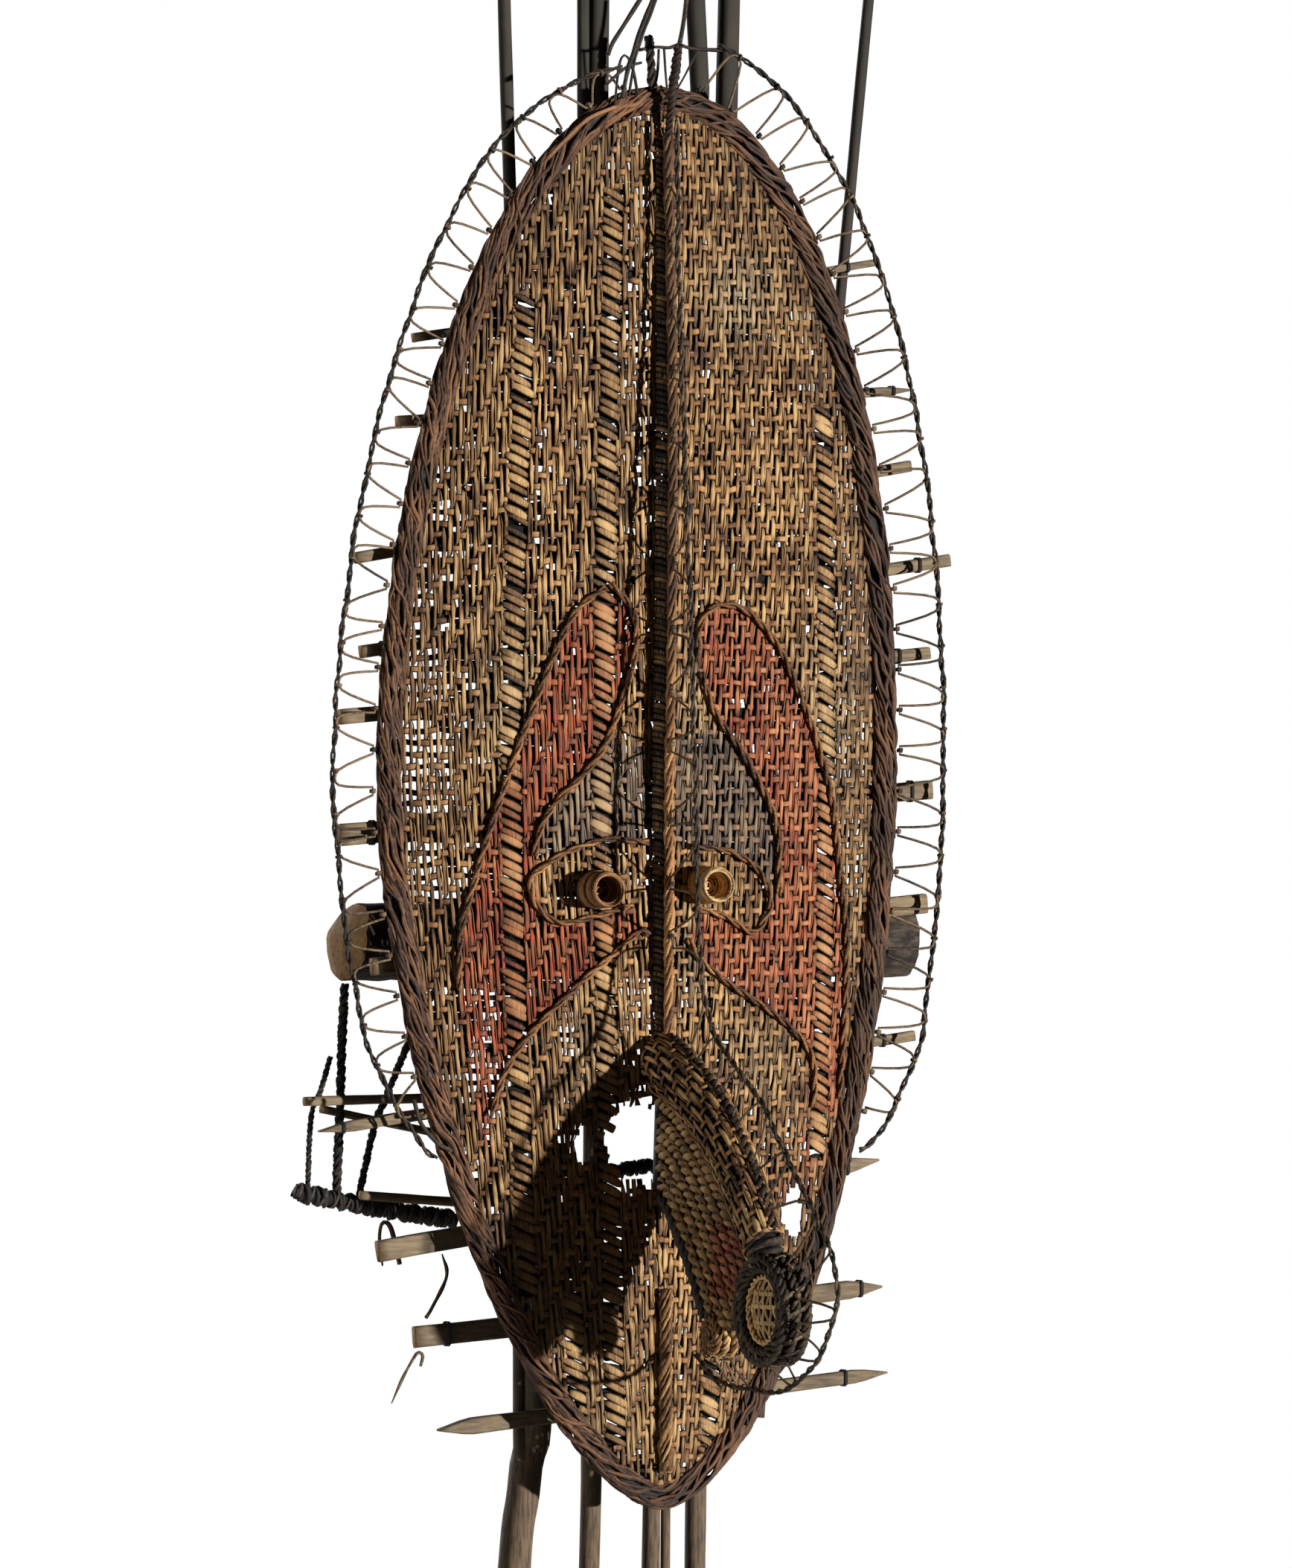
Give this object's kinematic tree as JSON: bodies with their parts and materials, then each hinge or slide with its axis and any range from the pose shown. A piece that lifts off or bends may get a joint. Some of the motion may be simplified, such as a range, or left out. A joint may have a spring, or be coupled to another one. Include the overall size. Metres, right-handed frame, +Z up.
{
  "type": "basketry gable mask",
  "caption": "Tall oval woven cane mask with a hooked nose ending in a scroll, coiled eyes and a looped cane border, lashed to its frame of poles, laths and a cross-beam.",
  "frame": {"origin": "on the flat back of the cross-beam, behind the mask's middle line", "axes": "+X to the viewer's right, +Y out of the back of the beam towards what holds it, +Z up along the mask"},
  "size_m": [0.6577, 0.5041, 1.595],
  "materials": {
    "face_cane": "matt weathered split cane, painted in places",
    "rim_cane": "matt smoke-browned cane",
    "dark_cane": "dull blackened vine",
    "sapling_wood": "weathered debarked sapling",
    "beam_wood": "smoked round log with bark remains",
    "knotted_cord": "dark twisted bark cord"
  },
  "bodies": {
    "root": {"face_panel": "face_cane", "rim_bundle": "rim_cane", "nose_ridge": "face_cane", "crest_rope": "face_cane", "chin_rope": "face_cane", "top_finial": "dark_cane", "nose_trunk": "face_cane", "nose_web": "face_cane", "nose_web_rope": "dark_cane", "nose_scroll": "rim_cane", "nose_scroll_disc": "face_cane", "nose_small_scroll": "face_cane", "eye_cup_left": "rim_cane", "eye_cup_right": "rim_cane", "cane_brow_left_outer": "rim_cane", "cane_brow_left_inner": "rim_cane", "cane_cheek_left": "rim_cane", "cane_brow_right_outer": "rim_cane", "cane_brow_right_inner": "rim_cane", "cane_cheek_right": "rim_cane", "cane_eye_left": "rim_cane", "cane_eye_right": "rim_cane", "halo_left": "dark_cane", "halo_right": "dark_cane", "nose_halo": "dark_cane", "cross_beam": "beam_wood", "pole_far_left": "sapling_wood", "pole_left_short": "sapling_wood", "pole_left": "sapling_wood", "pole_middle": "sapling_wood", "pole_middle_foot": "sapling_wood", "pole_right": "sapling_wood", "pole_far_right": "sapling_wood", "pole_prop": "sapling_wood", "lath_1": "sapling_wood", "lath_2": "sapling_wood", "lath_3": "sapling_wood", "lath_4": "sapling_wood", "lath_5": "sapling_wood", "lath_6": "sapling_wood", "lath_7": "sapling_wood", "lath_8": "sapling_wood", "lath_9": "sapling_wood", "lath_10": "sapling_wood", "lath_11": "sapling_wood", "rack_bar": "knotted_cord", "rack_top_stick": "sapling_wood", "rack_cross_stick": "sapling_wood", "rack_side_stick": "sapling_wood", "rack_cord_long": "knotted_cord", "rack_cord_left": "knotted_cord", "rack_cord_right": "knotted_cord", "inner_bar": "knotted_cord", "inner_cord": "knotted_cord", "strand_rack": "dark_cane", "strand_lath_9": "dark_cane", "strand_lath_10": "dark_cane", "rim_tie_left": "dark_cane", "rim_tie_right": "dark_cane"}
  },
  "joints": []
}
